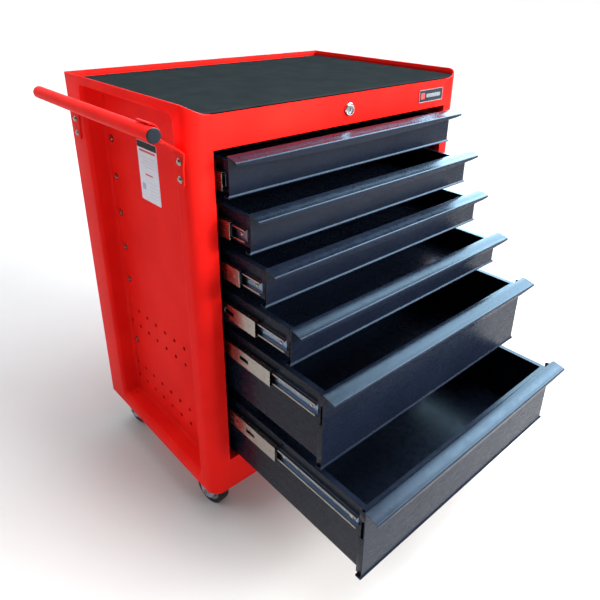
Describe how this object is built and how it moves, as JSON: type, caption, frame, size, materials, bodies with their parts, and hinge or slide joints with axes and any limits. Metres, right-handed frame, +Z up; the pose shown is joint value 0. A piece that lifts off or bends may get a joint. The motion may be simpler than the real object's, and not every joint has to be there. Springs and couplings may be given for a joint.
{
  "type": "rolling tool cabinet",
  "caption": "Sheet steel tool cabinet on swivel casters, with drawers on telescopic slides, a side handle, a lock and a matted worktop.",
  "frame": {"origin": "on the floor, under the middle of the whole tool box with its drawers as they stand at rest", "axes": "+Z up; the drawers open towards -Y; the handle is on the -X side"},
  "size_m": [0.7444, 0.8361, 0.88],
  "materials": {
    "red_paint": "gloss powder coat",
    "charcoal_paint": "semi-gloss powder coat",
    "zinc": "bright zinc plate",
    "chrome": "polished",
    "mat_rubber": "matt, fine grain",
    "tyre": "matt",
    "black_plastic": "satin",
    "label_film": "printed film"
  },
  "bodies": {
    "cabinet": {"side_panel_left": "red_paint", "side_panel_right": "red_paint", "back_panel": "red_paint", "front_header": "red_paint", "base_pan": "red_paint", "top_deck": "red_paint", "top_mat": "mat_rubber", "slide_rack_left": "zinc", "slide_rack_right": "zinc", "handle_tube": "red_paint", "handle_cap_front": "black_plastic", "handle_cap_rear": "black_plastic", "handle_bracket_front": "red_paint", "handle_bracket_rear": "red_paint", "lock_housing": "chrome", "name_badge": "black_plastic", "side_label": "label_film", "caster_plate_front_left": "zinc", "caster_plate_front_right": "zinc", "caster_plate_rear_left": "zinc", "caster_plate_rear_right": "zinc"},
    "drawer_1": {"drawer_front_1": "charcoal_paint", "drawer_box_1": "charcoal_paint"},
    "slide_middle_1": {"slide_middle_left_1": "zinc", "slide_middle_right_1": "zinc"},
    "drawer_2": {"drawer_front_2": "charcoal_paint", "drawer_box_2": "charcoal_paint"},
    "slide_middle_2": {"slide_middle_left_2": "zinc", "slide_middle_right_2": "zinc"},
    "drawer_3": {"drawer_front_3": "charcoal_paint", "drawer_box_3": "charcoal_paint"},
    "slide_middle_3": {"slide_middle_left_3": "zinc", "slide_middle_right_3": "zinc"},
    "drawer_4": {"drawer_front_4": "charcoal_paint", "drawer_box_4": "charcoal_paint"},
    "slide_middle_4": {"slide_middle_left_4": "zinc", "slide_middle_right_4": "zinc"},
    "drawer_5": {"drawer_front_5": "charcoal_paint", "drawer_box_5": "charcoal_paint"},
    "slide_middle_5": {"slide_middle_left_5": "zinc", "slide_middle_right_5": "zinc"},
    "drawer_6": {"drawer_front_6": "charcoal_paint", "drawer_box_6": "charcoal_paint"},
    "slide_middle_6": {"slide_middle_left_6": "zinc", "slide_middle_right_6": "zinc"},
    "lock_plug": {"lock_plug": "chrome"},
    "lock_bar": {"lock_bar": "zinc"},
    "caster_swivel_front_left": {"caster_fork_front_left": "zinc"},
    "caster_wheel_front_left": {"caster_wheel_front_left": "tyre"},
    "brake_pedal_front_left": {"brake_pedal_front_left": "zinc"},
    "caster_swivel_front_right": {"caster_fork_front_right": "zinc"},
    "caster_wheel_front_right": {"caster_wheel_front_right": "tyre"},
    "brake_pedal_front_right": {"brake_pedal_front_right": "zinc"},
    "caster_swivel_rear_left": {"caster_fork_rear_left": "zinc"},
    "caster_wheel_rear_left": {"caster_wheel_rear_left": "tyre"},
    "caster_swivel_rear_right": {"caster_fork_rear_right": "zinc"},
    "caster_wheel_rear_right": {"caster_wheel_rear_right": "tyre"}
  },
  "joints": [
    {"name": "drawer_1_slide", "type": "slide", "parent": "cabinet", "child": "drawer_1", "axis": [0, -1, 0], "range_m": [-0.024, 0.376]},
    {"name": "slide_middle_1_travel", "type": "slide", "parent": "cabinet", "child": "slide_middle_1", "axis": [0, -1, 0], "range_m": [-0.012, 0.188]},
    {"name": "drawer_2_slide", "type": "slide", "parent": "cabinet", "child": "drawer_2", "axis": [0, -1, 0], "range_m": [-0.077, 0.323]},
    {"name": "slide_middle_2_travel", "type": "slide", "parent": "cabinet", "child": "slide_middle_2", "axis": [0, -1, 0], "range_m": [-0.0385, 0.1615]},
    {"name": "drawer_3_slide", "type": "slide", "parent": "cabinet", "child": "drawer_3", "axis": [0, -1, 0], "range_m": [-0.114, 0.286]},
    {"name": "slide_middle_3_travel", "type": "slide", "parent": "cabinet", "child": "slide_middle_3", "axis": [0, -1, 0], "range_m": [-0.057, 0.143]},
    {"name": "drawer_4_slide", "type": "slide", "parent": "cabinet", "child": "drawer_4", "axis": [0, -1, 0], "range_m": [-0.174, 0.226]},
    {"name": "slide_middle_4_travel", "type": "slide", "parent": "cabinet", "child": "slide_middle_4", "axis": [0, -1, 0], "range_m": [-0.087, 0.113]},
    {"name": "drawer_5_slide", "type": "slide", "parent": "cabinet", "child": "drawer_5", "axis": [0, -1, 0], "range_m": [-0.249, 0.151]},
    {"name": "slide_middle_5_travel", "type": "slide", "parent": "cabinet", "child": "slide_middle_5", "axis": [0, -1, 0], "range_m": [-0.1245, 0.0755]},
    {"name": "drawer_6_slide", "type": "slide", "parent": "cabinet", "child": "drawer_6", "axis": [0, -1, 0], "range_m": [-0.347, 0.053]},
    {"name": "slide_middle_6_travel", "type": "slide", "parent": "cabinet", "child": "slide_middle_6", "axis": [0, -1, 0], "range_m": [-0.1735, 0.0265]},
    {"name": "lock_bar_travel", "type": "slide", "parent": "cabinet", "child": "lock_bar", "axis": [0, 0, -1], "range_m": [0, 0.008]},
    {"name": "lock_turn", "type": "hinge", "parent": "cabinet", "child": "lock_plug", "pos_m": [0.03225, -0.04449, 0.8355], "axis": [0, 1, 0], "range_deg": [0, 90]},
    {"name": "swivel_front_left", "type": "hinge", "parent": "cabinet", "child": "caster_swivel_front_left", "pos_m": [-0.25475, 0.01451, 0.0917], "axis": [0, 0, 1], "continuous": true},
    {"name": "wheel_spin_front_left", "type": "hinge", "parent": "caster_swivel_front_left", "child": "caster_wheel_front_left", "pos_m": [-0.25866, 0.0392, 0.0375], "axis": [0.9877, 0.1564, 0], "continuous": true},
    {"name": "brake_front_left", "type": "hinge", "parent": "caster_swivel_front_left", "child": "brake_pedal_front_left", "pos_m": [-0.26195, 0.05994, 0.077], "axis": [-0.9877, -0.1564, 0], "range_deg": [0, 25]},
    {"name": "swivel_front_right", "type": "hinge", "parent": "cabinet", "child": "caster_swivel_front_right", "pos_m": [0.31925, 0.01451, 0.0917], "axis": [0, 0, 1], "continuous": true},
    {"name": "wheel_spin_front_right", "type": "hinge", "parent": "caster_swivel_front_right", "child": "caster_wheel_front_right", "pos_m": [0.32445, 0.03896, 0.0375], "axis": [0.9781, -0.2079, 0], "continuous": true},
    {"name": "brake_front_right", "type": "hinge", "parent": "caster_swivel_front_right", "child": "brake_pedal_front_right", "pos_m": [0.32881, 0.05951, 0.077], "axis": [-0.9781, 0.2079, 0], "range_deg": [0, 25]},
    {"name": "swivel_rear_left", "type": "hinge", "parent": "cabinet", "child": "caster_swivel_rear_left", "pos_m": [-0.25475, 0.35451, 0.0917], "axis": [0, 0, 1], "continuous": true},
    {"name": "wheel_spin_rear_left", "type": "hinge", "parent": "caster_swivel_rear_left", "child": "caster_wheel_rear_left", "pos_m": [-0.25649, 0.37945, 0.0375], "axis": [0.9976, 0.0698, 0], "continuous": true},
    {"name": "swivel_rear_right", "type": "hinge", "parent": "cabinet", "child": "caster_swivel_rear_right", "pos_m": [0.31925, 0.35451, 0.0917], "axis": [0, 0, 1], "continuous": true},
    {"name": "wheel_spin_rear_right", "type": "hinge", "parent": "caster_swivel_rear_right", "child": "caster_wheel_rear_right", "pos_m": [0.31577, 0.37927, 0.0375], "axis": [0.9903, 0.1392, 0], "continuous": true}
  ],
  "couplings": [
    {"joint": "slide_middle_1_travel", "follows": "drawer_1_slide", "ratio": 0.5},
    {"joint": "slide_middle_2_travel", "follows": "drawer_2_slide", "ratio": 0.5},
    {"joint": "slide_middle_3_travel", "follows": "drawer_3_slide", "ratio": 0.5},
    {"joint": "slide_middle_4_travel", "follows": "drawer_4_slide", "ratio": 0.5},
    {"joint": "slide_middle_5_travel", "follows": "drawer_5_slide", "ratio": 0.5},
    {"joint": "slide_middle_6_travel", "follows": "drawer_6_slide", "ratio": 0.5},
    {"joint": "lock_turn", "follows": "lock_bar_travel", "rad_per_m": 196.35}
  ]
}
